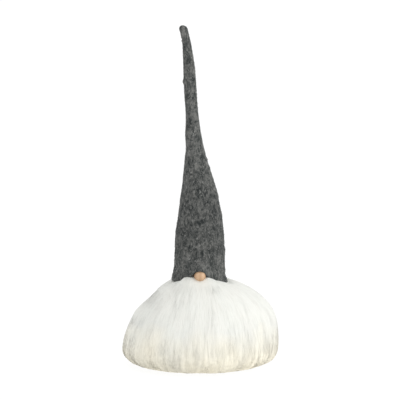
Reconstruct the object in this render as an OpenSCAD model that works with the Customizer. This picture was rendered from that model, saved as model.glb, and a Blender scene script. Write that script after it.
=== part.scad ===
// Tomte gnome: a squat long-wool body on a weighted base, a round wooden nose,
// and a tall felt hat that bends on the soft wire inside it.
// Millimetres, +Z up, front towards -Y, origin at the centre of the base.

/* [Body] */
// Width across the wool at its widest
body_width = 203; // [190:1:216]
// Height of the top of the wool dome, under the hat
body_height = 120; // [116:1:124]
// Height of the widest ring of the wool
belly_z = 28; // [24:1:32]

/* [Pelt] */
// Radius of the leather side of the pelt at its widest
hide_radius = 68; // [66:1:72]
// Height of the top of the leather
hide_height = 110; // [108:1:111]
// Thickness of the leather
hide_wall = 1.5; // [1:0.1:2]

/* [Base] */
// Radius of the round board
board_radius = 58; // [54:1:58]
// Thickness of the board
board_thickness = 4; // [3:0.5:5]
// Thickness of the felt pad that the figure stands on
pad_thickness = 2; // [1.5:0.5:3]
// Depth of the loose pellets in the pouch
pellet_depth = 32; // [20:1:50]

/* [Post and wire] */
// Diameter of the dowel that stands in the body
post_diameter = 12; // [10:1:12]
// Height of the top of the dowel
post_top = 150; // [140:1:170]
// Diameter of the wire in the hat
wire_diameter = 2; // [1.5:0.1:2.2]

/* [Hat] */
// Height of the tip of the hat
hat_top = 446; // [430:1:470]
// Height of the lower edge of the hat, at its front
brim_z = 121; // [120:1:123]
// Radius of the hat at its lower edge
brim_radius = 33; // [31:0.5:34]
// How far the tip leans towards -X
hat_lean = 23; // [0:1:30]
// Thickness of the felt
felt_wall = 3; // [2:0.1:3]
// How far the corners of the brim hang below its front edge
corner_drop = 10; // [6:1:10]

/* [Nose] */
// Diameter of the wooden nose
nose_diameter = 15; // [14:0.5:18]
// Diameter of the hole through it
nose_bore = 2.4; // [2:0.1:3]

/* [Bends] */
// Height of the sideways bend above the stuffing
low_bend_z = 262; // [255:1:268]
// Height of the forward bend in the narrow part
mid_bend_z = 352; // [345:1:360]
// Height of the kink in the tip
tip_bend_z = 425; // [421:1:428]

/* [Hidden] */
$fn = 48;

// Gap between neighbouring pieces that lie on each other
gap = 0.3;
// Points round the hat, round the wire and along a quarter of an ellipse
hat_sides = 32;
wire_sides = 12;
arc_steps = 10;

// The hat from brim (0) to tip (1): how much of its lean and of its brim radius it has
HAT_LEAN = [
    [0, 0], [0.30, 0], [0.37, 0.08], [0.43, 0.22], [0.56, 0.40],
    [0.71, 0.53], [0.86, 0.68], [0.93, 0.80], [1, 1]
];
HAT_RADIUS = [
    [0, 1], [0.14, 0.95], [0.24, 0.85], [0.30, 0.75], [0.37, 0.63], [0.43, 0.48],
    [0.49, 0.36], [0.56, 0.30], [0.62, 0.25], [0.80, 0.215], [0.93, 0.165], [1, 0.16]
];
// Half the length of the soft stretch at each bend
low_half = 4.5;
mid_half = 4;
tip_half = 4;
// How far the brim rises over the nose, and how wide that arch is, in degrees
arch_rise = 12;
arch_spread = 20;
// How far the corners of the brim stand out
corner_flare = 3.5;
// Sharpness of the corners
corner_power = 6;

// How far the felt pad stays inside the board's edge
pad_inset = 2;
board_z = pad_thickness + hide_wall + gap;
board_top = board_z + board_thickness;
post_radius = post_diameter / 2;
wire_radius = wire_diameter / 2;
nose_radius = nose_diameter / 2;
// The nose: how far it stands in front of the hat and above the brim, and the space kept clear over it
nose_out = 2;
nose_up = 1.7;
nose_clear = 3;
nose_y = -brim_radius - nose_out;
nose_z = brim_z + nose_up;
// The nose's thread: its radius, the radius of its turns, the legs behind the nose, and the knots
thread_radius = 0.5;
thread_turn = 2.5;
thread_leg = 8;
knot_radius = 1.6;
// The screw: its shank, its countersunk head, its point, the cross in its head, and its fit in the wood
screw_radius = 1.9;
screw_head_radius = 3.8;
screw_head_depth = 2;
screw_length = 28;
screw_point = 4;
cross_length = 4;
cross_width = 0.8;
cross_depth = 1.2;
fit = 0.1;
// The pouch: its cloth, and the height of its tied neck and of the cord round it
pouch_wall = 1.2;
neck_z = 122;
neck_tie_z = 115;
neck_flare = 3;
cord_radius = 0.9;
tie_low = neck_tie_z - 2 * cord_radius;
tie_high = neck_tie_z + 2 * cord_radius;
// How far below the tie the neck turns outward, on its outside and on its inside
outer_turn = 1;
inner_turn = 3;
// Height where the pouch's filling ends, at the post
filling_top = hide_height - 8;
// The hat's stuffing: its shoulder over the nose, its top, and the plug below the shoulder
stuffing_z = nose_z + nose_radius + nose_clear;
stuffing_top = 250;
plug_z = 112;
plug_radius = 21;
plug_bore = 11;
wire_z = post_top - 20;
pellet_top = board_top + pouch_wall + gap + pellet_depth;
// The pelt's turned-in hem and the opening at its top, and the lowest point of the wool
hem_inner = board_radius - 12;
hide_opening = 12;
foot_radius = board_radius + 2;
wool_low_z = 1;
wool_foot = hide_radius + 2;
// Height above which the hat is a plain round tube
plain_z = brim_z + arch_rise + 3;
// The hollow in the top of the wool that the brim sits in, and its clearance round the brim
seat_clear = 2;
seat_radius = brim_radius + corner_flare + seat_clear;
seat_z = brim_z - corner_drop - 2 * gap;
// Angles of the rings on the hat's rounded end
cap_angles = [20, 40, 60, 80];

function hat_part(z) = (z - brim_z) / (hat_top - brim_z);
function hat_x(z) = -hat_lean * lookup(hat_part(z), HAT_LEAN);
function hat_r(z) = brim_radius * lookup(hat_part(z), HAT_RADIUS);

// Points of an ellipse about (cx, cz) from angle t0 to t1
function ellipse_arc(cx, cz, a, b, t0, t1) =
    [for (i = [0:arc_steps]) let (t = t0 + (t1 - t0) * i / arc_steps)
        [cx + a * cos(t), cz + b * sin(t)]];

// Angle at which an ellipse of half width a is r from its centre
function angle_at(r, a) = acos(r / a);

// Reversed list, to walk back along an inner wall
function backwards(v) = [for (i = [len(v) - 1:-1:0]) v[i]];

// Evenly spaced heights from z0 to z1
function heights(z0, z1, count) = [for (i = [0:count]) z0 + (z1 - z0) * i / count];

// Shape of the brim round the hat: how much of the corners and of the front arch is at angle a
function corner_share(a) = pow(abs(cos(a)), corner_power);
function arch_share(a) = exp(-pow((a - 270) / arch_spread, 2));
function brim_rise(a) = arch_rise * arch_share(a) - corner_drop * corner_share(a);

// A ring is [x, z, radius, brim]: brim is how much of the brim's outline it follows
function ring_points(ring, sides) =
    [for (i = [0:sides - 1])
        let (a = 360 * i / sides, r = ring[2] + ring[3] * corner_flare * corner_share(a))
        [ring[0] + r * cos(a), r * sin(a), ring[1] + ring[3] * brim_rise(a)]];

// Skin between two rings of points
function skin(lower, upper, sides) =
    [for (i = [0:sides - 1]) let (k = (i + 1) % sides)
        [lower * sides + i, upper * sides + i, upper * sides + k, lower * sides + k]];

// Closed loop of rings: up the outside and back down the inside
module ring_loop(rings, sides) {
    count = len(rings);
    polyhedron(
        points = [for (ring = rings) each ring_points(ring, sides)],
        faces = [for (i = [0:count - 1]) each skin(i, (i + 1) % count, sides)]
    );
}

// Stack of rings with a flat face at each end
module ring_stack(rings, sides) {
    count = len(rings);
    polyhedron(
        points = [for (ring = rings) each ring_points(ring, sides)],
        faces = [
            for (i = [0:count - 2]) each skin(i, i + 1, sides),
            [for (i = [0:sides - 1]) i],
            [for (i = [sides - 1:-1:0]) (count - 1) * sides + i]
        ]
    );
}

// Rings of the hat at the given heights, inset from its surface
function hat_rings(zs, inset) = [for (z = zs) [hat_x(z), z, hat_r(z) - inset, 0]];

module hat_tube(z0, z1, count) {
    zs = heights(z0, z1, count);
    color("dimgray")
        ring_loop(concat(hat_rings(zs, 0), backwards(hat_rings(zs, felt_wall))), hat_sides);
}

// Wire along the hat from z0 to z1, with chamfered ends
module hat_wire(z0, z1, count) {
    half = wire_radius / 2;
    color("silver")
        ring_stack(
            concat(
                [[hat_x(z0), z0 - half, half, 0]],
                [for (z = heights(z0, z1, count)) [hat_x(z), z, wire_radius, 0]],
                [[hat_x(z1), z1 + half, half, 0]]
            ),
            wire_sides
        );
}

// Outline of a dome on the leather's ellipse, inset from it, from the bottom round to radius r
function dome_side(inset, bottom_z, r) =
    let (a = hide_radius - inset, b = hide_height - belly_z - inset)
    concat(
        ellipse_arc(foot_radius, belly_z, a - foot_radius, belly_z - bottom_z, -90, 0),
        [for (p = ellipse_arc(0, belly_z, a, b, 0, angle_at(r, a))) if (p[1] > belly_z) p]
    );

// Felt pad glued under the board: the flat face that the figure rests on
module base_pad() {
    color("gray") cylinder(r = board_radius - pad_inset, h = pad_thickness);
}

module base_board() {
    color("burlywood")
        translate([0, 0, board_z])
            difference() {
                cylinder(r = board_radius, h = board_thickness);
                translate([0, 0, -1]) cylinder(r = screw_radius + fit, h = board_thickness + 2);
                cylinder(r1 = screw_head_radius + fit, r2 = screw_radius + fit, h = screw_head_depth);
            }
}

// Countersunk screw up through the board into the post
module post_screw() {
    shank = screw_length - screw_point;
    color("silver")
        translate([0, 0, board_z])
            difference() {
                rotate_extrude()
                    polygon([
                        [0, 0], [screw_head_radius, 0], [screw_radius, screw_head_depth],
                        [screw_radius, shank], [0, screw_length]
                    ]);
                for (turn = [0, 90])
                    rotate([0, 0, turn])
                        cube([cross_length, cross_width, 2 * cross_depth], center = true);
            }
}

module center_post() {
    color("burlywood")
        difference() {
            translate([0, 0, board_top]) cylinder(r = post_radius, h = post_top - board_top);
            translate([0, 0, board_top - 1]) cylinder(r = screw_radius + fit, h = screw_length);
            translate([0, 0, wire_z - wire_radius])
                cylinder(r = wire_radius + fit, h = post_top - wire_z + wire_diameter);
        }
}

// Cotton pouch that holds the filling, gathered round the post at its neck
module inner_pouch() {
    outer = hide_wall + gap;
    inner = outer + pouch_wall;
    neck = post_radius + gap;
    floor_z = board_top + gap;
    color("ivory")
        rotate_extrude()
            polygon(concat(
                [[neck, floor_z]],
                dome_side(outer, floor_z, neck + neck_flare),
                [
                    [neck + pouch_wall, tie_low - outer_turn],
                    [neck + pouch_wall, tie_high],
                    [neck + neck_flare, neck_z],
                    [neck + neck_flare - pouch_wall, neck_z],
                    [neck, tie_high],
                    [neck, tie_low - inner_turn]
                ],
                backwards(dome_side(inner, floor_z + pouch_wall, neck + neck_flare)),
                [[neck, floor_z + pouch_wall]]
            ));
}

// A band of the pouch's filling between two heights
module pouch_filling(z0, z1) {
    inset = hide_wall + 2 * gap + pouch_wall;
    floor_z = board_top + gap + pouch_wall + gap;
    bore = post_radius + gap;
    intersection() {
        rotate_extrude()
            polygon(concat(
                [[bore, floor_z]],
                dome_side(inset, floor_z, bore + neck_flare + 1),
                [[bore, filling_top]]
            ));
        translate([0, 0, z0]) cylinder(r = hide_radius, h = z1 - z0);
    }
}

module ballast_pellets() {
    color("sienna") pouch_filling(0, pellet_top);
}

module body_stuffing() {
    color("white") pouch_filling(pellet_top + gap, hide_height);
}

// Cord bound twice round the neck of the pouch
module neck_tie() {
    ring = post_radius + gap + pouch_wall + cord_radius + fit;
    color("tan")
        for (side = [-1, 1])
            translate([0, 0, neck_tie_z + side * (cord_radius + fit / 2)])
                rotate_extrude() translate([ring, 0]) circle(r = cord_radius);
}

// Drawcord that gathers the turned-in hem of the pelt under the board
module hem_cord() {
    cord = hide_wall / 2;
    color("tan")
        translate([0, 0, pad_thickness + cord + gap / 2])
            rotate_extrude() translate([hem_inner - cord - gap, 0]) circle(r = cord);
}

// Leather side of the pelt, turned in under the board
module pelt_hide() {
    color("wheat")
        rotate_extrude()
            polygon(concat(
                [[hem_inner, pad_thickness + gap / 2]],
                dome_side(0, pad_thickness + gap / 2, hide_opening),
                backwards(dome_side(hide_wall, pad_thickness + hide_wall, hide_opening)),
                [[hem_inner, pad_thickness + hide_wall]]
            ));
}

// The wool's full outside, down to its combed lower edge
module wool_pile() {
    half = body_width / 2;
    rise = body_height - belly_z;
    color("floralwhite")
        rotate_extrude()
            polygon(concat(
                [[foot_radius + 1, wool_low_z]],
                ellipse_arc(wool_foot, belly_z, half - wool_foot, belly_z - wool_low_z, -90, 0),
                [for (p = ellipse_arc(0, belly_z, half, rise, 0, angle_at(seat_radius, half)))
                    if (p[1] > belly_z) p],
                [[seat_radius, seat_z], [hide_opening + 1, seat_z]],
                backwards(dome_side(-gap, wool_low_z + 1, hide_opening + 1))
            ));
}

module nose_bead() {
    color("burlywood")
        translate([0, nose_y, nose_z])
            rotate([0, 90, 0])
                rotate_extrude()
                    intersection() {
                        circle(r = nose_radius);
                        translate([nose_bore / 2, -nose_radius]) square([nose_radius, nose_diameter]);
                    }
}

// Thread through the nose, turned back under the brim to a knot on each side
module nose_thread() {
    run = nose_radius + thread_radius;
    color("saddlebrown")
        translate([0, nose_y, nose_z]) {
            rotate([0, 90, 0]) cylinder(r = thread_radius, h = 2 * run, center = true);
            for (side = [0, 1])
                mirror([side, 0, 0]) {
                    translate([run, thread_turn, 0])
                        rotate([0, 0, -90])
                            rotate_extrude(angle = 90)
                                translate([thread_turn, 0]) circle(r = thread_radius);
                    translate([run + thread_turn, thread_turn, 0]) {
                        rotate([-90, 0, 0]) cylinder(r = thread_radius, h = thread_leg);
                        translate([0, thread_leg, 0]) sphere(r = knot_radius);
                    }
                }
        }
}

// Wadding that holds the lower hat open, round the post and the wire, and its plug under the brim
module hat_stuffing() {
    clear = felt_wall + 2 * gap;
    bore_top = post_top + gap;
    outer_zs = heights(stuffing_z, stuffing_top, 12);
    bore_zs = heights(bore_top + 2, stuffing_top, 8);
    color("white")
        ring_loop(
            concat(
                [[0, plug_z, plug_radius, 0], [0, stuffing_z, plug_radius, 0]],
                hat_rings(outer_zs, clear),
                backwards([for (z = bore_zs) [hat_x(z), z, wire_radius + 2 * gap, 0]]),
                [[0, bore_top, post_radius + gap, 0], [0, neck_z + 1, post_radius + gap, 0],
                 [0, neck_z + 1, plug_bore, 0], [0, plug_z, plug_bore, 0]]
            ),
            hat_sides
        );
}

// Lower hat: the brim's corners hang at its sides and its front arches over the nose
module hat_cone() {
    zs = heights(plain_z, low_bend_z - low_half, 12);
    color("dimgray")
        ring_loop(
            concat(
                [[0, brim_z, brim_radius, 1]],
                hat_rings(zs, 0),
                backwards(hat_rings(zs, felt_wall)),
                [[0, brim_z, brim_radius - felt_wall, 1]]
            ),
            hat_sides
        );
}

module hat_bend_low() {
    hat_tube(low_bend_z - low_half + gap, low_bend_z + low_half - gap, 2);
}

module hat_middle() {
    hat_tube(low_bend_z + low_half, mid_bend_z - mid_half, 6);
}

module hat_bend_mid() {
    hat_tube(mid_bend_z - mid_half + gap, mid_bend_z + mid_half - gap, 2);
}

module hat_upper() {
    hat_tube(mid_bend_z + mid_half, tip_bend_z - tip_half, 5);
}

module hat_bend_tip() {
    hat_tube(tip_bend_z - tip_half + gap, tip_bend_z + tip_half - gap, 2);
}

// Closed end of the hat
module hat_tip() {
    r = hat_r(hat_top);
    z0 = tip_bend_z + tip_half;
    z1 = hat_top - r;
    cap = [for (t = cap_angles) [hat_x(z1 + r * sin(t)), z1 + r * sin(t), r * cos(t), 0]];
    zs = heights(z0, z1, 2);
    color("dimgray")
        difference() {
            ring_stack(concat(hat_rings(zs, 0), cap), hat_sides);
            ring_stack(
                concat([[hat_x(z0), z0 - 1, hat_r(z0) - felt_wall, 0]], hat_rings(zs, felt_wall)),
                hat_sides
            );
        }
}

module wire_base() {
    hat_wire(wire_z, low_bend_z - wire_diameter - gap, 12);
}

module wire_middle() {
    hat_wire(low_bend_z, mid_bend_z - wire_diameter - gap, 8);
}

module wire_upper() {
    hat_wire(mid_bend_z, tip_bend_z - wire_diameter - gap, 6);
}

module wire_tip() {
    hat_wire(tip_bend_z, hat_top - hat_r(hat_top) - wire_diameter, 2);
}

base_pad();
base_board();
post_screw();
center_post();
inner_pouch();
ballast_pellets();
body_stuffing();
neck_tie();
hem_cord();
pelt_hide();
wool_pile();
nose_bead();
nose_thread();
hat_stuffing();
hat_cone();
hat_bend_low();
hat_middle();
hat_bend_mid();
hat_upper();
hat_bend_tip();
hat_tip();
wire_base();
wire_middle();
wire_upper();
wire_tip();
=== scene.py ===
import math

import bpy
import numpy as np
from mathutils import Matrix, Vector


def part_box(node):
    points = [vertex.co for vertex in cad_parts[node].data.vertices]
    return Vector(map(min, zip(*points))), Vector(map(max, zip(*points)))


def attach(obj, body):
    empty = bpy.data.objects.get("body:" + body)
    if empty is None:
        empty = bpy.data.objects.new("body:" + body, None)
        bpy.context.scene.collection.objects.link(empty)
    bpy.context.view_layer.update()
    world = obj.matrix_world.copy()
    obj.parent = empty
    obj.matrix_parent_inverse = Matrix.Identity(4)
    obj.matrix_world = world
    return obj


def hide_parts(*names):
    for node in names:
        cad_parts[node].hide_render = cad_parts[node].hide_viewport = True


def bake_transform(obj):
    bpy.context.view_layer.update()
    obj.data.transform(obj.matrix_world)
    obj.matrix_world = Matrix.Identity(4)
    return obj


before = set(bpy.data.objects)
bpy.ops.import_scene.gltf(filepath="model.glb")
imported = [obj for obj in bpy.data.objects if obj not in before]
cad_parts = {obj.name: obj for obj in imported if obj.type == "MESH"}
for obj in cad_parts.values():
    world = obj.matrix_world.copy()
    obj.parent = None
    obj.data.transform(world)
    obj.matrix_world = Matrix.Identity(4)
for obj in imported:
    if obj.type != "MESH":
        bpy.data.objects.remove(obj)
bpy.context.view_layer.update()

# The tomte's visual model. Lengths are in millimetres until a mesh is made, with +X to the viewer's right
MM = 0.001


# ---------------------------------------------------------------- camera, light, floor

VIEW_ELEVATION = math.radians(7)
CAMERA_DISTANCE = 3.0
FRAME_WIDTH = 0.52
LOOK_AT = Vector((0, 0, 0.217))


def new_object(name, data):
    made = bpy.data.objects.new(name, data)
    bpy.context.scene.collection.objects.link(made)
    return made


def make_camera():
    data = bpy.data.cameras.new("camera")
    data.sensor_width = 36
    data.lens = data.sensor_width * CAMERA_DISTANCE / FRAME_WIDTH
    camera = new_object("camera", data)
    back = Vector((0, -math.cos(VIEW_ELEVATION), math.sin(VIEW_ELEVATION)))
    camera.location = LOOK_AT + back * CAMERA_DISTANCE
    camera.rotation_euler = (-back).to_track_quat("-Z", "Y").to_euler()
    bpy.context.scene.camera = camera


def area_light(name, place, size, power, colour):
    data = bpy.data.lights.new(name, "AREA")
    data.shape = "DISK"
    data.size = size
    data.energy = power
    data.color = colour
    light = new_object(name, data)
    light.location = place
    light.rotation_euler = (LOOK_AT - Vector(place)).to_track_quat("-Z", "Y").to_euler()


def make_studio():
    world = bpy.data.worlds.new("studio")
    world.use_nodes = True
    bpy.context.scene.world = world
    nodes = Nodes(world.node_tree, "Generated")
    sky = nodes.tree.nodes["Background"]
    sky.inputs["Strength"].default_value = 1.26
    # Less light from the two sides, most of all from -X
    greys = [(0, 0.45), (0.25, 0.80), (0.5, 1.0), (0.75, 0.95), (1, 0.75)]
    shade = nodes.ramp(nodes.spread(nodes.part("X"), -1, 1), [(at, (v, v, v)) for at, v in greys])
    nodes.put(sky.inputs["Color"], shade)
    area_light("key", (2.3, -1.6, 0.8), 1.6, 19, (1.0, 0.99, 0.97))
    bpy.ops.mesh.primitive_plane_add(size=120, location=(0, 0, -0.0002))
    floor = bpy.context.object
    floor.name = "floor"
    material = new_material("floor_white")
    shader = material.node_tree.nodes["Principled BSDF"]
    shader.inputs["Base Color"].default_value = (0.14, 0.14, 0.14, 1)
    shader.inputs["Roughness"].default_value = 1.0
    shader.inputs["Specular IOR Level"].default_value = 0.0
    shader.inputs["Emission Color"].default_value = (1, 1, 1, 1)
    shader.inputs["Emission Strength"].default_value = 0.9
    floor.data.materials.append(material)
    bpy.context.scene.view_settings.view_transform = "Standard"


# ---------------------------------------------------------------- materials

def new_material(name):
    material = bpy.data.materials.new(name)
    material.use_nodes = True
    return material


class Nodes:
    """A node tree, with short calls for the nodes used here."""

    def __init__(self, tree, coordinates):
        self.tree = tree
        self.place = self.node("ShaderNodeTexCoord").outputs[coordinates]

    def node(self, kind, **settings):
        made = self.tree.nodes.new(kind)
        for key, value in settings.items():
            setattr(made, key, value)
        return made

    def put(self, socket, value):
        """Link a socket to a node's output, or set it to a value."""
        if isinstance(value, bpy.types.NodeSocket):
            self.tree.links.new(value, socket)
        elif socket.type == "RGBA":
            socket.default_value = (*value, 1)
        else:
            socket.default_value = value

    def set(self, made, **inputs):
        for key, value in inputs.items():
            self.put(made.inputs[key.replace("_", " ")], value)

    def maths(self, operation, *values):
        made = self.node("ShaderNodeMath", operation=operation)
        for socket, value in zip(made.inputs, values):
            self.put(socket, value)
        return made.outputs[0]

    def stretched(self, x, y, z):
        """The coordinates, scaled along each axis."""
        made = self.node("ShaderNodeMapping")
        self.set(made, Vector=self.place, Scale=(x, y, z))
        return made.outputs["Vector"]

    def part(self, axis):
        """One of the coordinates."""
        made = self.node("ShaderNodeSeparateXYZ")
        self.put(made.inputs[0], self.place)
        return made.outputs[axis]

    def noise(self, scale, detail=4.0, rough=0.6, where=None, warp=0.0):
        made = self.node("ShaderNodeTexNoise")
        self.set(made, Vector=where or self.place, Scale=scale, Detail=detail)
        self.set(made, Roughness=rough, Distortion=warp)
        return made.outputs["Fac"]

    def ramp(self, fac, stops):
        """Colours at given places from 0 to 1."""
        made = self.node("ShaderNodeValToRGB")
        self.put(made.inputs["Fac"], fac)
        items = made.color_ramp.elements
        while len(items) < len(stops):
            items.new(0.5)
        for item, (at, colour) in zip(items, stops):
            item.position = at
            item.color = (*colour, 1)
        return made.outputs["Color"]

    def mix(self, fac, a, b, mode="MIX"):
        made = self.node("ShaderNodeMix", data_type="RGBA", blend_type=mode)
        for socket, value in zip((made.inputs[0], made.inputs[6], made.inputs[7]), (fac, a, b)):
            self.put(socket, value)
        return made.outputs[2]

    def spread(self, value, low, high, to_low=0.0, to_high=1.0):
        made = self.node("ShaderNodeMapRange", clamp=True)
        self.set(made, Value=value, From_Min=low, From_Max=high, To_Min=to_low, To_Max=to_high)
        return made.outputs["Result"]


class Paint(Nodes):
    """A material's nodes."""

    def __init__(self, name, roughness, specular=0.2):
        self.material = new_material(name)
        super().__init__(self.material.node_tree, "Object")
        self.shader = self.tree.nodes["Principled BSDF"]
        self.shader.inputs["Roughness"].default_value = roughness
        self.shader.inputs["Specular IOR Level"].default_value = specular

    def combed(self, width):
        """Noise drawn out along wool combed down from the axis: fibres about width metres apart."""
        turn = self.maths("ARCTAN2", self.part("Y"), self.part("X"))
        reach = self.node("ShaderNodeVectorMath", operation="LENGTH")
        self.put(reach.inputs[0], self.stretched(1, 1, 0))
        where = self.node("ShaderNodeCombineXYZ")
        parts = ("X", turn, 0.1), ("Y", reach.outputs["Value"], 0.07), ("Z", self.part("Z"), 0.07)
        for axis, source, scale in parts:
            self.put(where.inputs[axis], self.maths("MULTIPLY", source, scale))
        return self.noise(1 / width, detail=3, where=where.outputs[0])

    def strand(self):
        """A random number for each separate strand."""
        return self.node("ShaderNodeNewGeometry").outputs["Random Per Island"]

    def bump(self, value, distance, strength=1.0, under=None):
        made = self.node("ShaderNodeBump")
        self.set(made, Height=value, Distance=distance, Strength=strength)
        if under is not None:
            self.put(made.inputs["Normal"], under)
        return made.outputs["Normal"]

    def finish(self, colour, normal=None, sheen=0.0, sheen_tint=(1, 1, 1)):
        self.set(self.shader, Base_Color=colour, Sheen_Weight=sheen)
        self.set(self.shader, Sheen_Roughness=0.5, Sheen_Tint=sheen_tint)
        if normal is not None:
            self.put(self.shader.inputs["Normal"], normal)
        return self.material


WOOL_WHITE = (0.83, 0.83, 0.785)
WOOL_COOL = (0.82, 0.83, 0.785)
WOOL_CREAM = (0.985, 0.925, 0.755)


def wool_material():
    """Off-white wool, creamier towards its lower ends, a little different from lock to lock, with painted
    shade between its combed fibres.
    """
    p = Paint("wool", roughness=0.8, specular=0.15)
    locks = p.noise(38, detail=3, where=p.stretched(1, 1, 0.35))
    upper = p.mix(p.spread(locks, 0.35, 0.65), WOOL_COOL, WOOL_WHITE)
    uneven_height = p.maths("MULTIPLY_ADD", p.noise(22, detail=2), -0.05, p.part("Z"))
    low = p.spread(uneven_height, -0.022, 0.036, 1.0, 0.0)
    colour = p.mix(low, upper, WOOL_CREAM)
    shade = p.ramp(p.strand(), [(0, (0.97, 0.97, 0.965)), (1, (1, 1, 1))])
    colour = p.mix(1.0, colour, shade, "MULTIPLY")
    fibres = p.combed(0.0011)
    # Painted shade: darker where the combed fibres dip, in the grooves between them
    painted_fibre_shade = p.ramp(fibres, [(0.36, (0.925, 0.925, 0.915)), (0.52, (1, 1, 1))])
    colour = p.mix(1.0, colour, painted_fibre_shade, "MULTIPLY")
    return p.finish(colour, p.bump(fibres, 0.0004, 0.5), sheen=0.25)


FELT_DARK = (0.022, 0.026, 0.026)
FELT_MID = (0.068, 0.071, 0.068)
FELT_PALE = (0.128, 0.129, 0.123)
FELT_FLECK = (0.27, 0.27, 0.26)


def felt_material():
    """Mottled grey wool felt: dark and light fibres matted together, with a matt, uneven nap."""
    p = Paint("hat_felt", roughness=0.95, specular=0.1)
    blotch = p.noise(70, detail=3, rough=0.5)
    mottle = p.noise(260, detail=4, rough=0.65, where=p.stretched(1, 1, 0.6), warp=0.8)
    both = p.mix(0.72, blotch, mottle)
    colour = p.ramp(both, [(0.40, FELT_DARK), (0.50, FELT_MID), (0.60, FELT_PALE)])
    fibres = p.noise(420, detail=3, rough=0.6, where=p.stretched(1, 1, 0.4), warp=2.0)
    colour = p.mix(p.spread(fibres, 0.58, 0.70), colour, FELT_FLECK)
    cross_fibres = p.noise(380, detail=3, rough=0.6, where=p.stretched(0.4, 0.4, 1), warp=2.0)
    colour = p.mix(p.spread(cross_fibres, 0.60, 0.72, 0, 0.8), colour, (0.014, 0.016, 0.016))
    # Paler high up and just above the brim
    paler = p.mix(1.0, colour, (1.25, 1.25, 1.25), "MULTIPLY")
    colour = p.mix(p.spread(p.part("Z"), 0.20, 0.32), colour, paler)
    colour = p.mix(p.spread(p.part("Z"), 0.125, 0.155, 0.8, 0.0), colour, paler)
    nap = p.bump(fibres, 0.0007, 0.8)
    lumps = p.bump(mottle, 0.0010, 0.7, under=nap)
    return p.finish(colour, lumps, sheen=0.1, sheen_tint=(0.8, 0.82, 0.82))


def fuzz_material():
    """Loose fibres that stand off the felt: most of them grey, some light, some nearly black."""
    p = Paint("hat_fuzz", roughness=0.9, specular=0.1)
    stops = [(0, (0.03, 0.03, 0.03)), (0.45, (0.10, 0.10, 0.10))]
    stops += [(0.8, (0.24, 0.24, 0.23)), (1, (0.5, 0.5, 0.48))]
    return p.finish(p.ramp(p.strand(), stops), sheen=0.1)


def wood_material(name, light, dark, scale, axis_scale, roughness):
    """Fine-grained wood: growth rings seen as soft bands, with pores."""
    p = Paint(name, roughness=roughness, specular=0.4)
    where = p.stretched(*axis_scale)
    wave = p.node("ShaderNodeTexWave", wave_type="BANDS", bands_direction="X")
    p.set(wave, Vector=where, Scale=scale, Distortion=4.0, Detail=3.0, Detail_Scale=1.5)
    grain = p.noise(scale * 9, detail=5, where=where)
    bands = p.mix(0.45, wave.outputs["Fac"], grain)
    colour = p.ramp(bands, [(0.25, dark), (0.75, light)])
    return p.finish(colour, p.bump(bands, 0.0001, 0.35))


def cloth_material(name, light, dark, threads):
    """Plain weave: two sets of threads that cross, with uneven yarn."""
    p = Paint(name, roughness=0.9, specular=0.1)
    across = p.node("ShaderNodeTexWave", wave_type="BANDS", bands_direction="Z")
    along = p.node("ShaderNodeTexWave", wave_type="BANDS", bands_direction="DIAGONAL")
    for wave in (across, along):
        p.set(wave, Vector=p.place, Scale=threads, Distortion=1.0, Detail=2.0)
    weave = p.mix(1.0, across.outputs["Color"], along.outputs["Color"], "MULTIPLY")
    yarn = p.mix(0.35, weave, p.noise(threads * 0.6))
    return p.finish(p.ramp(yarn, [(0.1, dark), (0.8, light)]), p.bump(yarn, 0.0002, 0.5), sheen=0.1)


def fluffy_material(name, light, dark, scale):
    """Loose or matted fibre: wadding, felt pad."""
    p = Paint(name, roughness=0.95, specular=0.1)
    fibres = p.noise(scale, detail=6, rough=0.7, warp=1.5)
    clumps = p.noise(scale * 0.15, detail=3)
    both = p.mix(0.4, fibres, clumps)
    return p.finish(p.ramp(both, [(0.3, dark), (0.7, light)]), p.bump(fibres, 0.0006, 0.6), sheen=0.2)


def pellet_material(name, light, dark):
    """Small round pellets packed together, with painted shade darkening each one towards its rim and into the
    gaps between them.
    """
    p = Paint(name, roughness=0.6, specular=0.4)
    cells = p.node("ShaderNodeTexVoronoi")
    p.set(cells, Vector=p.place, Scale=280.0)
    # Painted shade: each cell is darker from its middle out to its rim, where the pellets meet
    colour = p.mix(p.spread(cells.outputs["Distance"], 0.0, 0.75), light, dark)
    # A random tint for each pellet, over the painted shade
    tint_and_painted_shade = p.mix(0.25, colour, cells.outputs["Color"], "MULTIPLY")
    hollow = p.spread(cells.outputs["Distance"], 0.0, 0.8, 1.0, 0.0)
    return p.finish(tint_and_painted_shade, p.bump(hollow, 0.0012, 0.8))


def leather_material(name, light, dark):
    """Tanned suede side of a pelt."""
    p = Paint(name, roughness=0.8, specular=0.2)
    grain = p.node("ShaderNodeTexVoronoi")
    p.set(grain, Vector=p.place, Scale=520.0)
    suede = p.noise(240, detail=5)
    both = p.mix(0.5, grain.outputs["Distance"], suede)
    return p.finish(p.ramp(both, [(0.2, dark), (0.7, light)]), p.bump(both, 0.0003, 0.5))


def metal_material(name, light, dark):
    """Drawn or rolled metal with fine lines along Z."""
    p = Paint(name, roughness=0.38, specular=0.5)
    p.shader.inputs["Metallic"].default_value = 1.0
    lines = p.noise(900, detail=3, where=p.stretched(1, 1, 0.05))
    stain = p.noise(60, detail=4)
    both = p.mix(0.4, lines, stain)
    return p.finish(p.ramp(both, [(0.3, dark), (0.7, light)]), p.bump(lines, 0.00003, 0.4))


def cord_material(name, light, dark):
    """Twisted yarn: slanting strands round a cord."""
    p = Paint(name, roughness=0.9, specular=0.1)
    twist = p.node("ShaderNodeTexWave", wave_type="BANDS", bands_direction="DIAGONAL")
    p.set(twist, Vector=p.place, Scale=520.0, Distortion=0.5, Detail=2.0)
    yarn = p.mix(0.3, twist.outputs["Fac"], p.noise(1500))
    return p.finish(p.ramp(yarn, [(0.15, dark), (0.8, light)]), p.bump(yarn, 0.0002, 0.6), sheen=0.1)


# ---------------------------------------------------------------- mesh helpers

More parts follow.
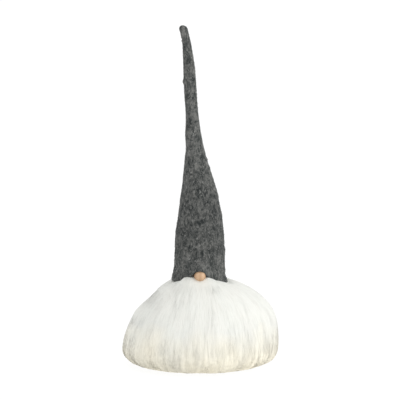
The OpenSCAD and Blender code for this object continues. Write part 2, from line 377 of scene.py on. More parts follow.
def mesh_object(name, points, faces, material):
    """An object from an array of points in millimetres and arrays of equal-sided faces."""
    mesh = bpy.data.meshes.new(name)
    corners = np.concatenate([f.ravel() for f in faces])
    sizes = np.concatenate([np.full(len(f), f.shape[1]) for f in faces])
    starts = np.concatenate([[0], np.cumsum(sizes)[:-1]])
    mesh.vertices.add(len(points))
    mesh.vertices.foreach_set("co", (points * MM).astype(np.float32).ravel())
    mesh.loops.add(len(corners))
    mesh.loops.foreach_set("vertex_index", corners.astype(np.int32))
    mesh.polygons.add(len(sizes))
    mesh.polygons.foreach_set("loop_start", starts.astype(np.int32))
    mesh.update(calc_edges=True)
    mesh.validate()
    mesh.shade_smooth()
    mesh.materials.append(material)
    return new_object(name, mesh)


def unit(v):
    return v / np.maximum(np.linalg.norm(v, axis=-1, keepdims=True), 1e-9)


def smooth_step(x):
    x = np.clip(x, 0, 1)
    return x * x * (3 - 2 * x)


def polar(angle, r, z):
    """Points at an azimuth, a radius and a height."""
    return np.stack([r * np.cos(angle), r * np.sin(angle), z + 0 * angle], -1)


def bell(x, centre, width):
    """1 where x is centre, falling off over width either side of it."""
    return np.exp(-(((x - centre) / width) ** 2))


def waves(points, size, seed, count=20):
    """A smooth, uneven field from -1 to about 1 over points, with lumps about size across."""
    rng = np.random.default_rng(seed)
    turn = unit(rng.normal(size=(count, 3))) * rng.uniform(0.6, 1.5, (count, 1)) * 2 * math.pi / size
    return np.sin(points @ turn.T + rng.uniform(0, 2 * math.pi, count)).sum(-1) / math.sqrt(count)


def grid_faces(rows, columns):
    """Quads of a grid of rows of points, joined round from the last column to the first."""
    i = np.arange(rows - 1)[:, None]
    j = np.arange(columns)[None, :]
    k = (j + 1) % columns
    quads = np.stack([i * columns + j, i * columns + k, (i + 1) * columns + k, (i + 1) * columns + j], -1)
    return quads.reshape(-1, 4)


def rows_mesh(name, points, material, capped=False):
    """A solid of rings of points (row, column, xyz): closed on itself like a sleeve, or capped."""
    count, columns = points.shape[:2]
    flat = points.reshape(-1, 3)
    if not capped:
        return mesh_object(name, flat, [grid_faces(count + 1, columns) % len(flat)], material)
    last = (count - 1) * columns
    j = np.arange(columns)
    k = (j + 1) % columns
    lower = np.stack([np.full_like(j, len(flat)), k, j], -1)
    upper = np.stack([np.full_like(j, len(flat) + 1), last + j, last + k], -1)
    flat = np.concatenate([flat, points[:1].mean(1), points[-1:].mean(1)])
    return mesh_object(name, flat, [grid_faces(count, columns), lower, upper], material)


def ring_solid(name, rings, columns, material, change=None, capped=False):
    """A solid of rings (x, y, z, radius), as in rows_mesh; change moves the finished points."""
    angle = np.linspace(0, 2 * math.pi, columns, endpoint=False)
    x, y, z, r = (v[:, None] for v in np.array(rings, float).T)
    points = np.stack([x + r * np.cos(angle), y + r * np.sin(angle), z + 0 * angle], -1)
    if change is not None:
        points = change(points)
    return rows_mesh(name, points, material, capped)


def upright(profile):
    """Rings about the upright axis from (radius, height) points."""
    return [(0, 0, z, r) for r, z in profile]


def strands(name, paths, outward, radii, material, rng, thin=1.0, soft=0.0):
    """Closed, tapered, three-sided strands along paths (strand, point, xyz), each ending in a point.

    Each lies with an edge outward, and thin is its thickness against its width. soft turns their
    shading normals from their own sides (0) to outward (1)."""
    count, steps = paths.shape[:2]
    along = unit(np.gradient(paths, axis=1))
    side = unit(np.cross(along, outward))
    up = np.cross(along, side)
    angle = rng.normal(0, 0.12, (count, 1, 1)) + np.radians([-90, 30, 150])
    rings = (
        paths[:, :-1, None]
        + radii[:, :-1, None, None] * np.cos(angle)[..., None] * side[:, :-1, None]
        + radii[:, :-1, None, None] * thin * np.sin(angle)[..., None] * up[:, :-1, None]
    )
    ring_points = (steps - 1) * 3
    points = np.concatenate([rings.reshape(count, ring_points, 3), paths[:, -1:]], 1)
    base = np.arange(count)[:, None, None] * (ring_points + 1)
    wall = grid_faces(steps - 1, 3)[None] + base
    last = ring_points - 3
    ends = [[last + a, last + b, ring_points] for a, b in ((0, 1), (1, 2), (2, 0))] + [[0, 2, 1]]
    tips = np.array(ends)[None] + base
    faces = [wall.reshape(-1, 4), tips.reshape(-1, 3)]
    made = mesh_object(name, points.reshape(-1, 3), faces, material)
    if soft:
        own = unit(points - np.concatenate([np.repeat(paths[:, :-1], 3, 1), paths[:, -2:-1]], 1))
        far = np.concatenate([np.repeat(outward[:, :-1], 3, 1), outward[:, -1:]], 1)
        normals = unit(own * (1 - soft) + far * soft)
        made.data.normals_split_custom_set_from_vertices(normals.reshape(-1, 3).tolist())
    return made


# Height of the brim's edge at azimuths in degrees: raised over the nose, low at the two corners
BRIM_EDGE = np.array([
    (-180, 112), (-160, 112), (-137, 114.5), (-127, 119), (-108, 121), (-98, 127.5), (-90, 129.3),
    (-82, 127.5), (-74, 120.5), (-63, 117.5), (-52, 114.5), (-36, 112.5), (-13, 109.5), (0, 110),
    (20, 112.5), (45, 115), (90, 116.5), (135, 115.5), (165, 113), (180, 112),
])


# ---------------------------------------------------------------- wool

wool_low, wool_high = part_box("wool_pile")
WOOL_RADIUS = (wool_high.x - wool_low.x) / 2 / MM
BELLY_Z = 28.0
CROWN_Z = 120.0
FOOT_RADIUS = 65.0
FOOT_Z = 1.2
TOP_ANGLE = 76.0
# Highest that the wool follows the brim's edge, where it arches over the nose
ARCH_LIMIT = 120.5
FRONT = -math.pi / 2


def meridian(samples=400):
    """Half outline of the combed wool, brim to table: distance along it, r, z and normal."""
    upper = np.radians(np.linspace(TOP_ANGLE, 0, samples))
    lower = np.radians(np.linspace(0, -90, samples // 2))[1:]
    under = WOOL_RADIUS - FOOT_RADIUS
    r = np.concatenate([WOOL_RADIUS * np.cos(upper), FOOT_RADIUS + under * np.cos(lower)])
    z = BELLY_Z + np.concatenate([(CROWN_Z - BELLY_Z) * np.sin(upper), (BELLY_Z - FOOT_Z) * np.sin(lower)])
    step = np.hypot(np.diff(r), np.diff(z))
    s = np.concatenate([[0], np.cumsum(step)])
    dr, dz = np.gradient(r, s), np.gradient(z, s)
    size = np.hypot(dr, dz)
    return s, r, z, -dz / size, dr / size


S, S_R, S_Z, S_NR, S_NZ = meridian()
S_END = S[-1]


def turn_from(angle, centre):
    """How far an azimuth is from another, between -pi and pi."""
    return (angle - centre + math.pi) % (2 * math.pi) - math.pi


def side_of(angle, centre, width):
    """1 at an azimuth, falling off over width either side of it."""
    return bell(turn_from(angle, centre), 0, width)


def on_wool(angle, s, height):
    """A point at an azimuth, s along the meridian and height off the combed surface."""
    r, z = np.interp(s, S, S_R), np.interp(s, S, S_Z)
    height = np.where(z < BELLY_Z, np.minimum(height, 0), height)
    r = r + height * np.interp(s, S, S_NR)
    z = z + height * np.interp(s, S, S_NZ)
    # Fuller high on the right, hollow high on the left, and spread sideways near the table
    lean = 0.10 * np.cos(angle) * bell(z, 84, 33)
    dent = np.maximum(0, -np.cos(angle)) ** 4 * (
        0.02 * bell(z, 72, 10) - 0.055 * bell(z, 95, 14) + 0.015 * bell(z, 24, 14)
    )
    splay = 0.06 * np.cos(angle) ** 2 * smooth_step((BELLY_Z - z) / 26)
    r = r * (1 + lean + dent + splay)
    # Near the hat the wool follows the brim, higher to both sides of the nose and lower under it
    wrapped = np.degrees(turn_from(angle, 0))
    edge = np.interp(wrapped, BRIM_EDGE[:, 0], np.minimum(BRIM_EDGE[:, 1], ARCH_LIMIT))
    lift = 1.5 * side_of(angle, FRONT, 0.8) - 3.2 * side_of(angle, FRONT, 0.22)
    rise = (edge + lift - CROWN_Z + 5.7) * bell(r, 35, 15)
    z = z + rise * (z > 80)
    around = polar(angle, 100, z)
    r = r + (0.9 * waves(around, 70, 11) + 0.35 * waves(around, 33, 12)) * smooth_step((112 - z) / 20)
    return polar(angle, r, np.maximum(z, 0.6))


def wool_point(angle, s, height):
    """A point as in on_wool, with the combed surface's outward normal there."""
    step, turn = 2, 0.03
    near = np.clip(s, step, S_END - 3 * step)
    down = on_wool(angle, near + step, 0 * s) - on_wool(angle, near - step, 0 * s)
    across = on_wool(angle + turn, near, 0 * s) - on_wool(angle - turn, near, 0 * s)
    return on_wool(angle, s, height), unit(np.cross(down, across))


def softened(normals):
    """Wool scatters light inside, so it is lit from above nearly as much as from the side it faces."""
    return unit(normals + [0, 0, 0.8])


UNDERCOAT_COLUMNS = 360


def lower_share(s):
    """0 on the smooth top of the wool, 1 towards its lower ends, where the locks part."""
    return smooth_step((s - 95) / 55)


def wool_undercoat(material):
    """The dense wool under the long locks: one closed, lumpy skin from the hat's seat to the pelt's hem."""
    s = np.linspace(0, S_END, 150)
    angle = np.linspace(0, 2 * math.pi, UNDERCOAT_COLUMNS, endpoint=False)
    grid_a, grid_s = np.meshgrid(angle, s)
    points, normals = wool_point(grid_a, grid_s, -0.48 - 0.35 * lower_share(grid_s))
    flow = polar(grid_a, 100, grid_s * 0.12)
    relief = 0.6 * waves(flow, 9, 21, 30) + 0.4 * waves(flow, 5, 22, 30)
    points = points + normals * ((0.05 + 0.3 * lower_share(grid_s)) * relief)[..., None]
    seat_z = 110.6
    hem_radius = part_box("pelt_hide")[1].x / MM * 0.90

    def ring(radius, z):
        return polar(angle, radius, z)[None]

    rows = np.concatenate([
        ring(14.0, 104.0), ring(14.0, seat_z), ring(20.0, seat_z + 0.5), points,
        ring(hem_radius + 1.0, 2.4), ring(hem_radius, 3.4),
        ring(hem_radius + 6, 20.0), ring(hem_radius + 3, 60.0), ring(30.0, 103.0),
    ])[::-1]
    made = rows_mesh("wool_undercoat", rows, material)
    own = np.empty(rows.size, np.float32)
    made.data.vertex_normals.foreach_get("vector", own)
    own = own.reshape(rows.shape)
    # Three rings lie past the combed surface at its upper end
    own[-3 - len(s) : -3] = softened(normals)[::-1]
    made.data.normals_split_custom_set_from_vertices(own.reshape(-1, 3).tolist())
    return made


LOCKS = 1300
HAIRS_PER_LOCK = 16
HAIR_STEPS = 6
HAIR_RADIUS = 0.32
HAIR_THINNESS = 0.13
HAIR_SOFTNESS = 0.92


def wool_hairs(rng):
    """Paths of every hair: locks combed down the dome, drawn together towards their tips."""
    # Locks are spread evenly over the surface: more of them where the dome is wide
    share = np.cumsum(S_R)
    root = np.interp(rng.uniform(0, share[-1] * 0.93, LOCKS), share, S)
    azimuth = rng.uniform(-math.pi, math.pi, LOCKS)
    length = rng.uniform(42, 72, LOCKS)
    drift = rng.normal(0, 0.05, LOCKS)
    count = LOCKS * HAIRS_PER_LOCK
    lock = np.repeat(np.arange(LOCKS), HAIRS_PER_LOCK)
    t = np.linspace(0, 1, HAIR_STEPS)[None]
    start = root[lock] + rng.normal(0, 5, count)
    long = length[lock] * rng.uniform(0.75, 1.1, count)
    room = S_END - 1 - start
    long = np.where(long > room, np.maximum(room, 6) * rng.uniform(0.93, 1.02, count), long)
    s = np.clip(start[:, None] + long[:, None] * t, 0, S_END)
    radius = np.interp(s, S, S_R)
    drawn_in = 0.55 * smooth_step(t * 1.1) * smooth_step((s - 60) / 80)
    loose = rng.normal(0, 3.2, count)[:, None] * (1 - drawn_in)
    crimp = rng.uniform(0.2, 0.6, count)[:, None] * np.sin(
        2 * math.pi * (t * long[:, None] / 13 + rng.uniform(0, 1, count)[:, None])
    )
    sway = 1.6 * np.sin(2 * math.pi * (t * 0.8 + rng.uniform(0, 1, LOCKS)[lock][:, None]))
    angle = azimuth[lock][:, None] + drift[lock][:, None] * t
    angle = angle + (loose + crimp + sway) / np.maximum(radius, 25)
    # Each hair starts under the coat and comes up to its own level, looser low down
    depth = 0.18 + 0.7 * lower_share(s)
    level = -0.4 - depth * rng.uniform(0, 1, count)[:, None]
    rise = -2 + (level + 2) * smooth_step(t / 0.2)
    # A few hairs stand off towards their tips
    loose_hair = rng.uniform(size=count) < 0.035
    fly = np.where(loose_hair, rng.uniform(0.6, 2.6, count), 0)[:, None] * t * t
    puff = 0.2 * lower_share(s) * np.sin(2 * math.pi * (t * 0.6 + rng.uniform(0, 1, LOCKS)[lock][:, None]))
    points, normals = wool_point(angle, s, rise + fly + puff)
    taper = np.array([0.8, 1.0, 1.0, 0.85, 0.6, 0.0])[None]
    width = np.where(loose_hair, 0.5, 1.0)[:, None] * (0.7 + 0.3 * lower_share(s))
    radii = HAIR_RADIUS * rng.uniform(0.75, 1.15, count)[:, None] * width * taper
    return points, softened(normals), radii, azimuth[lock]


QUARTERS = {"front": FRONT, "right": 0.0, "back": math.pi / 2, "left": math.pi}


def make_wool():
    material = wool_material()
    coat = wool_undercoat(material)
    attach(coat, "base")
    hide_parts("wool_pile")
    rng = np.random.default_rng(5)
    points, normals, radii, azimuth = wool_hairs(rng)
    for name, centre in QUARTERS.items():
        mine = np.abs(turn_from(azimuth, centre)) <= math.pi / 4
        hairs = points[mine], normals[mine], radii[mine]
        locks = strands(f"wool_locks_{name}", *hairs, material, rng, HAIR_THINNESS, HAIR_SOFTNESS)
        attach(locks, "base")


# ---------------------------------------------------------------- hat

# Height, sideways place and radius of the hat, from the brim up
HAT_OUTLINE = np.array([
    (108, -0.5, 33.5), (133, -0.5, 33), (155, 0, 32.5), (175, -0.5, 31.5), (195, 0, 29), (215, -0.5, 25.5),
    (240, -2, 21), (260, -4.5, 16.5), (280, -6, 12.5), (300, -8.5, 10.5), (325, -10, 8.5), (345, -11.5, 8),
    (370, -13, 8), (390, -14, 7.5), (405, -15.5, 6.5), (425, -18, 5.5), (440, -21.5, 5.5),
])
HAT_COLUMNS = 192
FELT = 3.0
TIP_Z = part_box("hat_tip")[1].z / MM
# Heights where the hat's mesh is divided, between its bends
LOWER_END = 307.0
NARROW_END = 390.0
# Rows of the hat's mesh: before its outside starts, before its inner side starts, and past that side's end
TURNED_IN_ROWS = 12
BRIM_ROWS = 30
TIP_ROWS = 9


def curve_through(x, table_x, table_y):
    """Smooth curve through a table's points (monotone between them)."""
    slope = np.gradient(table_y, table_x)
    i = np.clip(np.searchsorted(table_x, x) - 1, 0, len(table_x) - 2)
    h = table_x[i + 1] - table_x[i]
    t = np.clip((x - table_x[i]) / h, 0, 1)
    a, b = table_y[i], table_y[i + 1]
    return (
        (2 * t**3 - 3 * t**2 + 1) * a + (t**3 - 2 * t**2 + t) * h * slope[i]
        + (3 * t**2 - 2 * t**3) * b + (t**3 - t**2) * h * slope[i + 1]
    )


def hat_centre(z):
    x = curve_through(z, HAT_OUTLINE[:, 0], HAT_OUTLINE[:, 1])
    y = 2.6 * np.sin((z - 150) / 95) * smooth_step((z - 150) / 80)
    return x, y


def hat_radius(z):
    return curve_through(z, HAT_OUTLINE[:, 0], HAT_OUTLINE[:, 2])


def crease(angle, z, ends, width, depth):
    """A pressed-in line between two (azimuth in degrees, height) ends on the hat."""
    (a0, z0), (a1, z1) = ends
    reach = hat_radius(z)
    du, dv = math.radians(a1 - a0) * reach, z1 - z0
    u, v = turn_from(angle, math.radians(a0)) * reach, z - z0
    t = np.clip((u * du + v * dv) / (du * du + dv * dv), 0, 1)
    away = np.hypot(u - t * du, v - t * dv)
    fade = 4 * t * (1 - t)
    return depth * fade * (0.5 * bell(away, 2 * width, width) - bell(away, 0, width))


# (ends, width, depth) of each crease
CREASES = [
    (((-99, 139.5), (-78, 140.0)), 1.1, 1.8),
    (((-172, 112), (-132, 131)), 1.8, 1.2),
    (((-178, 121), (-148, 137)), 1.6, 0.8),
    (((-62, 119), (-30, 132)), 2.0, 0.8),
    (((-40, 152), (20, 160)), 2.6, 0.5),
    (((-150, 178), (-95, 190)), 3.0, 0.4),
    (((120, 150), (170, 168)), 2.6, 0.6),
    (((30, 128), (75, 141)), 2.2, 0.8),
    (((-30, 262), (40, 268)), 2.4, 0.6),
    (((140, 424.0), (250, 429.0)), 0.9, 1.1),
    (((-120, 352), (-60, 350)), 1.4, 0.4),
]


def felt_offset(angle, z, around):
    """How far the felt stands off its smooth outline: nose bulge, corners, seams, folds and lumps."""
    flare = np.where(np.cos(angle) < 0, smooth_step((134 - z) / 22), 1.1 * smooth_step((121 - z) / 12))
    corners = np.abs(np.cos(angle)) ** 12 * 3.4 * flare
    nose = side_of(angle, FRONT, 0.33) * 8.0 * smooth_step((150 - z) / 17)
    seam = -0.5 * (side_of(angle, 0.0, 0.035) + side_of(angle, math.pi, 0.035)) * smooth_step((430 - z) / 20)
    knot = 1.5 * side_of(angle, math.pi, 0.6) * bell(z, 371, 3.0)
    total = corners + nose + seam + knot
    for ends, width, depth in CREASES:
        total = total + crease(angle, z, ends, width, depth)
    thin = np.clip(hat_radius(z) / 20, 0.3, 1.0)
    lumps = (0.3 * waves(around, 30, 31) + 0.14 * waves(around, 12, 32)) * thin
    nap = 0.16 * waves(around, 3.4, 33, 40) + 0.12 * waves(around, 1.9, 34, 40)
    return total + lumps + nap


def hat_surface(angle, level, inset=0.0):
    """Point of the felt: level is a height above the brim's edge low down, and above the table higher up."""
    edge = np.interp(np.degrees(angle), BRIM_EDGE[:, 0], BRIM_EDGE[:, 1])
    top = LOWER_END - 100
    z = edge + level * (top - edge) / top
    z = np.where(level >= top, level, z)
    r = hat_radius(z)
    x, y = hat_centre(z)
    cos, sin = np.cos(angle), np.sin(angle)
    around = np.stack([x + r * cos, y + r * sin, z], -1)
    r = r + felt_offset(angle, z, around) - inset
    return np.stack([x + r * cos, y + r * sin, z], -1)


def hat_rows():
    """Rows of points from inside the brim, over its rounded edge, up the outside to the closed tip."""
    angle = np.linspace(-math.pi, math.pi, HAT_COLUMNS, endpoint=False)
    rows = []
    # Down the inside of the brim, round its edge, up the outside, and over a rounded tip that leans to -X
    for level in np.linspace(16, 2, 10):
        rows.append(hat_surface(angle, np.full_like(angle, level), FELT))
    for turn in np.radians([-60, -20, 20, 60]):
        inset = FELT / 2 - FELT / 2 * math.sin(turn)
        rows.append(hat_surface(angle, np.full_like(angle, 1.5 - 1.5 * math.cos(turn)), inset))
    cap_z = TIP_Z - 7.6
    for level in np.arange(2, cap_z, 1.25):
        rows.append(hat_surface(angle, np.full_like(angle, level)))
    centre_x, centre_y = hat_centre(np.array([cap_z]))
    rim = rows[-1]
    middle = np.array([centre_x[0], centre_y[0], cap_z])
    for lift in np.radians(np.arange(12, 90, 13)):
        shrunk = middle + (rim - middle) * math.cos(lift)
        shrunk[:, 2] = cap_z + 5.5 * math.sin(lift)
        shrunk[:, 0] -= 1.2 * math.sin(lift)
        rows.append(shrunk)
    return np.array(rows)


FUZZ_PER_MM2 = 0.16
FUZZ_STEPS = 4


def fuzz_on(rows, rng, material, name):
    """Short stray fibres lying on and standing off a stretch of the felt."""
    corner = rows[:-1]
    across = np.roll(corner, -1, 1) - corner
    up = rows[1:] - corner
    normal = np.cross(across, up)
    area = np.linalg.norm(normal, axis=-1)
    share = np.cumsum(area.ravel())
    count = int(share[-1] * FUZZ_PER_MM2)
    pick = np.searchsorted(share, rng.uniform(0, share[-1], count))
    start = corner.reshape(-1, 3)[pick] + across.reshape(-1, 3)[pick] * rng.uniform(size=(count, 1))
    outward = unit(normal.reshape(-1, 3)[pick])
    along = unit(across.reshape(-1, 3)[pick])
    upward = np.cross(outward, along)
    turn = rng.uniform(0, 2 * math.pi, (count, 1))
    heading = np.cos(turn) * along + np.sin(turn) * upward
    side = np.cross(outward, heading)
    length = rng.uniform(1.6, 4.2, (count, 1))
    curl = rng.normal(0, 0.35, (count, 1))
    lift = rng.uniform(0.05, 0.35, (count, 1)) * (1 + 2.0 * (rng.uniform(size=(count, 1)) < 0.12))
    t = np.linspace(0, 1, FUZZ_STEPS)
    paths = np.stack([
        start + length * v * (heading + curl * v * side)
        + (lift * length * (v - 0.45 * v * v) - 0.15) * outward
        for v in t
    ], 1)
    taper = np.array([0.8, 1.0, 0.8, 0.0])[None]
    radii = rng.uniform(0.045, 0.075, (count, 1)) * taper
    outward = np.repeat(outward[:, None], FUZZ_STEPS, 1)
    return strands(name, paths, outward, radii, material, rng)


def joined(first, second):
    """second becomes part of first."""
    bpy.ops.object.select_all(action="DESELECT")
    first.select_set(True)
    second.select_set(True)
    bpy.context.view_layer.objects.active = first
    bpy.ops.object.join()
    return first


def inward(rows):
    """Every sixth row and the last, moved in by the felt's thickness."""
    rows = rows[np.r_[0 : len(rows) - 3 : 6, len(rows) - 1]]
    out = rows - rows.mean(1, keepdims=True)
    out[..., 2] = 0
    return rows - unit(out) * FELT


def make_hat():
    felt, fuzz = felt_material(), fuzz_material()
    rows = hat_rows()
    mean_z = rows[:, :, 2].mean(1)
    lower_end = int(np.argmax(mean_z > LOWER_END))
    narrow_end = int(np.argmax(mean_z > NARROW_END))
    stretches = [
        ("hat_lower", rows[: lower_end + 1], "hat_low_bend", 14, ("hat_cone", "hat_bend_low")),
        ("hat_narrow", rows[lower_end : narrow_end + 1], "hat_mid_bend", 20, ("hat_middle", "hat_bend_mid")),
        ("hat_end", rows[narrow_end:], "hat_tip_bend", 13, ("hat_upper", "hat_bend_tip", "hat_tip")),
    ]
    rng = np.random.default_rng(8)
    for name, part, joint, reach, nodes in stretches:
        # The felt's inner side starts above the turned-in brim and ends below the rounded tip
        outside = part
        if name == "hat_lower":
            outside = part[TURNED_IN_ROWS:]
            piece = rows_mesh(name, np.concatenate([part, inward(part[BRIM_ROWS:])[::-1]]), felt)
        elif name == "hat_narrow":
            piece = rows_mesh(name, np.concatenate([part, inward(part)[::-1]]), felt)
        else:
            piece = rows_mesh(name, np.concatenate([inward(part[:-TIP_ROWS])[::-1], part]), felt, capped=True)
        piece = joined(piece, fuzz_on(outside, rng, fuzz, name + "_fuzz"))
        bend(piece)
        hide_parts(*nodes)


def bend(piece):
    """piece's placing is baked into its mesh's points."""
    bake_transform(piece)


# ---------------------------------------------------------------- nose

def make_nose():
    low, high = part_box("nose_bead")
    centre = np.array((low + high) / 2) / MM
    radius = (high.y - low.y) / 2 / MM
    bore = 1.2
    rim = math.degrees(math.acos(bore / radius))
    arc = np.radians(np.linspace(-rim + 3, rim - 3, 40))
    profile = [(radius * math.cos(a), radius * math.sin(a)) for a in arc]
    end = profile[-1][1]
    profile += [(bore + 0.15, end - 0.1), (bore, end - 0.7), (bore, -end + 0.7), (bore + 0.15, -end + 0.1)]

    def turn(points):
        """Lay the bore along X, a little off true, as hand-turned beads are."""
        x, y, z = points[..., 2], points[..., 1], -points[..., 0]
        laid = np.stack([x, y, z], -1)
        return centre + laid * (1 + 0.006 * waves(laid, 14, 41))[..., None]

    wood = wood_material("bead_wood", (0.60, 0.40, 0.25), (0.49, 0.31, 0.185), 45, (1.0, 0.35, 1.0), 0.42)
    bead = ring_solid("nose", upright(profile), 72, wood, turn)
    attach(bead, "base")
    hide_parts("nose_bead")


# ---------------------------------------------------------------- inside and underneath

def along_line(start, end, step):
    """Points from start to end, about step apart, without the end."""
    count = max(int(math.dist(start, end) / step), 1)
    return [tuple(np.array(start) + (np.array(end) - np.array(start)) * i / count) for i in range(count)]


def radially(points, distance):
    """points moved away from the upright axis by distance."""
    flat = np.array([1, 1, 0])
    return points + unit(points * flat) * distance[..., None]


HIDE_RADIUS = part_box("pelt_hide")[1].x / MM
HIDE_RISE = 82.0
TURN_RADIUS = 60.0
POST_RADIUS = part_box("center_post")[1].x / MM


def dome_profile(inset, bottom_z, opening):
    """(radius, height) of the pelt's dome, inset from it, from its turned-in bottom up to an opening."""
    low = np.radians(np.arange(-90, 0, 7.5))
    side = HIDE_RADIUS - inset
    high = np.radians(np.arange(0, math.degrees(math.acos(opening / side)), 2.5))
    under = side - TURN_RADIUS
    lower = [(TURN_RADIUS + under * math.cos(a), BELLY_Z + (BELLY_Z - bottom_z) * math.sin(a)) for a in low]
    upper = [(side * math.cos(a), BELLY_Z + (HIDE_RISE - inset) * math.sin(a)) for a in high]
    return lower + upper


def make_hide(material):
    """The pelt's leather: one skin, gathered where its hem turns in under the board."""
    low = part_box("pelt_hide")[0] / MM
    wall = 1.5
    hem = 46.0

    def side(inset):
        """One side of the leather, from its hem out under the board and up the dome."""
        bottom = low.z + inset
        return along_line((hem, bottom), (TURN_RADIUS, bottom), 2) + dome_profile(inset, bottom, 12)

    def gather(points):
        angle = np.arctan2(points[..., 1], points[..., 0])
        amount = 0.9 * smooth_step((30 - points[..., 2]) / 26)
        folds = 0.5 + 0.5 * np.sin(34 * angle + 1.5 * waves(points, 60, 51))
        return radially(points, -amount * folds - 0.25 * (1 + waves(points, 16, 52)))

    piece = ring_solid("pelt_leather", upright(side(0) + side(wall)[::-1]), 240, material, gather)
    finish_inside(piece, "pelt_hide")


def make_pouch(material):
    """The cotton pouch: four panels sewn together, gathered tight round the post under its tie."""
    low, high = (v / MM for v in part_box("inner_pouch"))
    wall = 1.2
    neck = POST_RADIUS + 0.3
    tie_low, tie_z, tie_high = 113.2, 115, 116.8

    def side(inset, neck_radius, turn, flare):
        """One side of the cloth, from the post out over the board, up the dome and through the tie."""
        bottom = low.z + inset
        ring = [(neck_radius, z) for z in (tie_low - turn, tie_low, tie_z, tie_high)]
        over_board = along_line((neck, bottom), (TURN_RADIUS, bottom), 3)
        return over_board + dome_profile(1.8 + inset, bottom, neck + 3) + ring + [(neck + flare, high.z)]

    outer, inner = side(0, neck + wall, 1, 3), side(wall, neck, 3, 1.8)

    def gather(points):
        angle = np.arctan2(points[..., 1], points[..., 0])
        z = points[..., 2]
        close = smooth_step((z - 84) / 22)
        folds = 0.5 + 0.5 * np.sin(20 * angle + waves(points, 50, 53))
        seams = sum(side_of(angle, a, 0.03) for a in np.radians([-135, -45, 45, 135]))
        at_tie = 1 - 0.7 * bell(z, tie_z, 3)
        slack = 0.3 * (1 + waves(points, 22, 54)) + 0.5 * seams
        return radially(points, 0.9 * close * folds * at_tie - (1 - close) * slack * smooth_step((z - 9) / 6))

    piece = ring_solid("inner_pouch_cloth", upright(outer + inner[::-1]), 240, material, gather)
    finish_inside(piece, "inner_pouch")


def make_wadding(material):
    """Loose fibre filling, in tufts: above the pellets in the pouch, and in the lower hat."""
    low, high = (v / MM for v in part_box("body_stuffing"))
    bore = POST_RADIUS + 0.6
    side = [p for p in dome_profile(3.6, 5, bore + 5) if p[1] > low.z + 1]
    profile = along_line((bore, low.z), (side[0][0], low.z), 2.5) + side[:-1]
    profile += along_line(side[-1], (bore, high.z), 2)
    inner = along_line((bore, high.z - 1), (bore, low.z + 2), 3)

    def tufts(points):
        depth = 0.9 * np.abs(waves(points, 13, 55)) + 0.4 * np.abs(waves(points, 5, 56))
        return radially(points, -depth * (np.hypot(points[..., 0], points[..., 1]) > bore + 2))

    piece = ring_solid("body_wadding", upright(profile + inner), 180, material, tufts)
    finish_inside(piece, "body_stuffing")

    low, high = (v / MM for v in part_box("hat_stuffing"))
    shoulder = 133.5
    z = np.linspace(shoulder, high.z - 0.5, 70)
    x, y = hat_centre(z)
    r = hat_radius(z) - FELT - 1.0
    # A plug under the brim, a shoulder, the hat's own outline, and back down round the wire and the post
    rings = [(0, 0, v, 20.5) for v in np.linspace(low.z, shoulder - 0.5, 10)]
    rings += [(0, 0, shoulder - 0.2, v) for v in np.linspace(22, r[0] - 1, 4)]
    rings += list(zip(x, y, z, r))
    outside = len(rings)
    wire_z = np.linspace(high.z - 0.5, 153, 20)
    wire_x, wire_y = hat_centre(wire_z)
    rings += list(zip(wire_x * 0.9, wire_y * 0, wire_z, np.full(20, 1.8)))
    rings += [(0, 0, v, bore) for v in (152, 140, 124)] + [(0, 0, v, 11) for v in (123, 118, low.z)]

    def hat_tufts(points):
        moved = points.copy()
        outer = points[:outside]
        centre = outer.mean(1, keepdims=True)
        shrink = 1 - (0.03 * np.abs(waves(outer, 12, 57)) + 0.012 * np.abs(waves(outer, 4, 58)))[..., None]
        moved[:outside] = centre + (outer - centre) * shrink
        return moved

    piece = ring_solid("hat_wadding", rings, 96, material, hat_tufts)
    finish_inside(piece, "hat_stuffing")


def make_pellets(material):
    """The pouch's ballast: round plastic pellets, drawn one by one where the heap shows."""
    low, high = (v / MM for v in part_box("ballast_pellets"))
    radius, apart = 2.3, 4.75
    bore = POST_RADIUS + 0.4
    side = [p for p in dome_profile(3.3 + 1.6, 5, bore) if low.z + 1.5 < p[1] < high.z - 1.5]
    top, floor = high.z - 1.6, low.z + 1.6
    profile = along_line((bore, floor), (side[0][0], floor), 6) + side
    profile += along_line((side[-1][0], top), (bore + 1, top), 6) + [(bore, top), (bore, (top + floor) / 2)]
    heap = ring_solid("pellet_heap", upright(profile), 96, material)
    rng = np.random.default_rng(9)

    def circle(r, z):
        return [(r, a, z) for a in np.arange(0, 2 * math.pi - apart / 2 / r, apart / r)]

    places = []
    for r in np.arange(bore + radius + 0.3, high.x - radius - 3.5, 4.5):
        places += circle(r, high.z - radius)
        if r > 48:
            places += circle(r, low.z + radius)
    heights, radii = [p[1] for p in side], [p[0] for p in side]
    for level in np.arange(low.z + 3 * radius, high.z - 2.5 * radius, 4.4):
        places += circle(np.interp(level, heights, radii) - 1.0, level)
    r, a, z = np.array(places).T
    a = a + rng.uniform(0, 1, len(a)) * 0.2 * apart / r
    centres = polar(a, r, z + rng.uniform(-0.25, 0, len(a)))
    bpy.ops.mesh.primitive_ico_sphere_add(subdivisions=1, radius=1)
    ball = bpy.context.object
    shape = np.array([v.co[:] for v in ball.data.vertices])
    sides = np.array([f.vertices[:] for f in ball.data.polygons])
    bpy.data.objects.remove(ball)
    size = radius * rng.uniform(0.92, 1.0, (len(centres), 1, 3))
    points = centres[:, None] + shape * size
    faces = sides[None] + np.arange(len(centres))[:, None, None] * len(shape)
    pellets = mesh_object("pellets_loose", points.reshape(-1, 3), [faces.reshape(-1, 3)], material)
    piece = joined(pellets, heap)
    finish_inside(piece, "ballast_pellets")


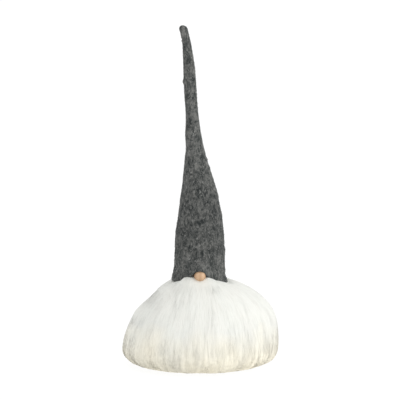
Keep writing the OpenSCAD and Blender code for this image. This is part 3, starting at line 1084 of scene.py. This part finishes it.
def make_pad(material):
    """The felt disc under the base, cut by hand, with a soft edge."""
    low, high = (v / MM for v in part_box("base_pad"))
    r = high.x
    under = [(v, low.z) for v in np.linspace(2, r - 1.5, 28)]
    edge = [(r - 0.4, low.z + 0.3), (r, low.z + 0.8), (r, high.z - 0.7), (r - 0.4, high.z - 0.2)]
    over = [(v, high.z) for v in np.linspace(r - 1.5, 2, 10)]

    def nap(points):
        out = np.hypot(points[..., 0], points[..., 1])
        cut = -0.35 * (1 + waves(points, 24, 61)) * smooth_step((out - r + 6) / 6)
        points = radially(points, cut)
        points[..., 2] += 0.12 * np.maximum(1 + waves(points, 4, 62, 30), 0) * (points[..., 2] < 0.5)
        return points

    piece = ring_solid("base_felt", upright(under + edge + over), 220, material, nap, capped=True)
    finish_inside(piece, "base_pad")


def twisted_rings(name, ring_radius, heights, thickness, material):
    """Cord of three twisted plies bound in closed turns at the given heights."""
    steps = int(2 * math.pi * ring_radius / (thickness * 0.5))
    twists = round(steps / 7)
    angle = np.linspace(0, 2 * math.pi, steps, endpoint=False)
    outward = polar(angle, 1, 0)
    up = np.array([0, 0, 1.0])
    turn = np.linspace(0, 2 * math.pi, 7)[:-1]
    points, faces = [], []
    for z in heights:
        for ply in range(3):
            phase = twists * angle + ply * 2 * math.pi / 3
            swing = np.cos(phase)[:, None] * outward + np.sin(phase)[:, None] * up
            centre = ring_radius * outward + z * up + 0.24 * thickness * swing
            round_ply = np.cos(turn)[None, :, None] * outward[:, None] + np.sin(turn)[None, :, None] * up
            tube = 0.25 * thickness * round_ply
            base = len(points) * steps * len(turn)
            points.append((centre[:, None] + tube).reshape(-1, 3))
            quads = grid_faces(steps + 1, len(turn)) % (steps * len(turn))
            faces.append(quads[:, [0, 3, 2, 1]] + base)
    return mesh_object(name, np.concatenate(points), [np.concatenate(faces)], material)


def make_cords(material):
    low, high = (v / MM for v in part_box("neck_tie"))
    size = (high.z - low.z) / 2
    heights = low.z + size / 2, high.z - size / 2
    piece = twisted_rings("neck_tie_cord", high.x - size / 2, heights, size, material)
    finish_inside(piece, "neck_tie")
    low, high = (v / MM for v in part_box("hem_cord"))
    size = high.z - low.z
    piece = twisted_rings("hem_drawcord", high.x - size / 2, ((low.z + high.z) / 2,), size, material)
    finish_inside(piece, "hem_cord")


def finish_inside(piece, node):
    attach(piece, "base")
    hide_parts(node)


def make_inside():
    """Detailed soft pieces, and materials for the CAD parts that stay as they are."""
    cord = cord_material("cord", (0.52, 0.40, 0.25), (0.28, 0.20, 0.11))
    make_pad(fluffy_material("pad_felt", (0.20, 0.19, 0.18), (0.10, 0.10, 0.09), 700))
    make_hide(leather_material("hide_leather", (0.66, 0.54, 0.40), (0.48, 0.38, 0.26)))
    make_pouch(cloth_material("pouch_cotton", (0.76, 0.70, 0.57), (0.52, 0.47, 0.37), 320))
    make_wadding(fluffy_material("wadding", (0.86, 0.85, 0.81), (0.66, 0.65, 0.61), 260))
    make_pellets(pellet_material("pellets", (0.36, 0.25, 0.16), (0.08, 0.05, 0.03)))
    make_cords(cord)
    wire = metal_material("wire_metal", (0.66, 0.66, 0.65), (0.48, 0.48, 0.47))
    looks = {
        "base_board": wood_material(
            "board_wood", (0.62, 0.45, 0.27), (0.42, 0.28, 0.15), 14, (1, 0.08, 1), 0.7
        ),
        "center_post": wood_material(
            "post_wood", (0.70, 0.53, 0.33), (0.52, 0.36, 0.20), 60, (1, 1, 0.06), 0.6
        ),
        "post_screw": metal_material("screw_steel", (0.62, 0.62, 0.60), (0.42, 0.42, 0.41)),
        "nose_thread": cord_material("thread", (0.24, 0.16, 0.10), (0.12, 0.08, 0.05)),
        "wire_base": wire, "wire_middle": wire, "wire_upper": wire, "wire_tip": wire,
    }
    for node, material in looks.items():
        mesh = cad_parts[node].data
        mesh.materials.clear()
        mesh.materials.append(material)


make_camera()
make_studio()
make_wool()
make_hat()
make_nose()
make_inside()
